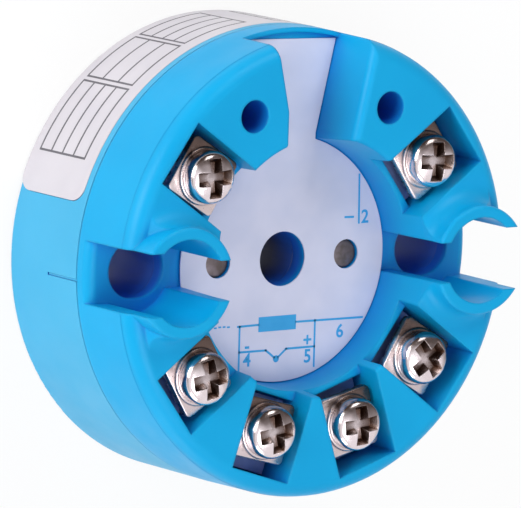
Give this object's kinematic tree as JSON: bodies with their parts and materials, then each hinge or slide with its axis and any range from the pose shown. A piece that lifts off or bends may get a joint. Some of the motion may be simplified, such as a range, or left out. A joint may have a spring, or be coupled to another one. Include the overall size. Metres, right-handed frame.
{
  "type": "temperature transmitter",
  "caption": "Round head-mounted temperature transmitter: moulded two-part housing with screw terminals, label recess, centre wire bore and two slotted fixing ears.",
  "frame": {"origin": "centre of the flat rear face, which the part stands on", "axes": "+Z is the body's axis and points out of the terminal face, +X runs along the two ears, +Y points along the label's flap, between the test holes"},
  "size_m": [0.044, 0.044, 0.0221],
  "materials": {
    "blue_plastic": "moulded, satin",
    "label_film": "printed film, satin",
    "white_film": "printed film, satin",
    "nickel_plate": "nickel plated",
    "screw_nickel": "nickel plated, bright",
    "contact_metal": "plain",
    "stud_metal": "tinned, dull",
    "board_laminate": "solder mask",
    "core_ferrite": "ferrite",
    "chip_resin": "moulded resin",
    "capacitor_resin": "moulded resin",
    "can_metal": "drawn can"
  },
  "bodies": {
    "housing": {"rear_cup": "blue_plastic", "front_housing": "blue_plastic", "face_label": "label_film", "side_label": "white_film", "terminal_base_1": "nickel_plate", "terminal_base_2": "nickel_plate", "terminal_base_3": "nickel_plate", "terminal_base_4": "nickel_plate", "terminal_base_5": "nickel_plate", "terminal_base_6": "nickel_plate", "test_jack_left": "contact_metal", "test_jack_right": "contact_metal", "contact_stud_left": "stud_metal", "contact_stud_right": "stud_metal", "circuit_board": "board_laminate", "isolating_transformer": "core_ferrite", "microcontroller": "chip_resin", "signal_converter": "chip_resin", "output_isolator": "chip_resin", "tantalum_capacitors": "capacitor_resin", "power_inductor": "core_ferrite", "crystal": "can_metal"},
    "clamp_1": {"clamp_plate_1": "nickel_plate"},
    "screw_1": {"terminal_screw_1": "screw_nickel"},
    "clamp_2": {"clamp_plate_2": "nickel_plate"},
    "screw_2": {"terminal_screw_2": "screw_nickel"},
    "clamp_3": {"clamp_plate_3": "nickel_plate"},
    "screw_3": {"terminal_screw_3": "screw_nickel"},
    "clamp_4": {"clamp_plate_4": "nickel_plate"},
    "screw_4": {"terminal_screw_4": "screw_nickel"},
    "clamp_5": {"clamp_plate_5": "nickel_plate"},
    "screw_5": {"terminal_screw_5": "screw_nickel"},
    "clamp_6": {"clamp_plate_6": "nickel_plate"},
    "screw_6": {"terminal_screw_6": "screw_nickel"}
  },
  "joints": [
    {"name": "clamp_1_lift", "type": "slide", "parent": "housing", "child": "clamp_1", "axis": [0, 0, 1], "range_m": [-0.0019, 0.0006]},
    {"name": "screw_1_turn", "type": "hinge", "parent": "clamp_1", "child": "screw_1", "pos_m": [-0.01301, 0.00931, 0.016], "axis": [0, 0, 1], "range_deg": [-1370, 434]},
    {"name": "clamp_2_lift", "type": "slide", "parent": "housing", "child": "clamp_2", "axis": [0, 0, 1], "range_m": [-0.0013, 0.0006]},
    {"name": "screw_2_turn", "type": "hinge", "parent": "clamp_2", "child": "screw_2", "pos_m": [0.01301, 0.00931, 0.016], "axis": [0, 0, 1], "range_deg": [-938, 434]},
    {"name": "clamp_3_lift", "type": "slide", "parent": "housing", "child": "clamp_3", "axis": [0, 0, 1], "range_m": [-0.0019, 0.0006]},
    {"name": "screw_3_turn", "type": "hinge", "parent": "clamp_3", "child": "screw_3", "pos_m": [-0.01286, -0.00952, 0.016], "axis": [0, 0, 1], "range_deg": [-1370, 434]},
    {"name": "clamp_4_lift", "type": "slide", "parent": "housing", "child": "clamp_4", "axis": [0, 0, 1], "range_m": [-0.0017, 0.0006]},
    {"name": "screw_4_turn", "type": "hinge", "parent": "clamp_4", "child": "screw_4", "pos_m": [-0.00494, -0.01522, 0.016], "axis": [0, 0, 1], "range_deg": [-1226, 434]},
    {"name": "clamp_5_lift", "type": "slide", "parent": "housing", "child": "clamp_5", "axis": [0, 0, 1], "range_m": [-0.0016, 0.0006]},
    {"name": "screw_5_turn", "type": "hinge", "parent": "clamp_5", "child": "screw_5", "pos_m": [0.00494, -0.01522, 0.016], "axis": [0, 0, 1], "range_deg": [-1154, 434]},
    {"name": "clamp_6_lift", "type": "slide", "parent": "housing", "child": "clamp_6", "axis": [0, 0, 1], "range_m": [-0.0012, 0.0006]},
    {"name": "screw_6_turn", "type": "hinge", "parent": "clamp_6", "child": "screw_6", "pos_m": [0.01286, -0.00952, 0.016], "axis": [0, 0, 1], "range_deg": [-866, 434]}
  ],
  "couplings": [
    {"joint": "screw_1_turn", "follows": "clamp_1_lift", "rad_per_m": 12566},
    {"joint": "screw_2_turn", "follows": "clamp_2_lift", "rad_per_m": 12566},
    {"joint": "screw_3_turn", "follows": "clamp_3_lift", "rad_per_m": 12566},
    {"joint": "screw_4_turn", "follows": "clamp_4_lift", "rad_per_m": 12566},
    {"joint": "screw_5_turn", "follows": "clamp_5_lift", "rad_per_m": 12566},
    {"joint": "screw_6_turn", "follows": "clamp_6_lift", "rad_per_m": 12566}
  ]
}
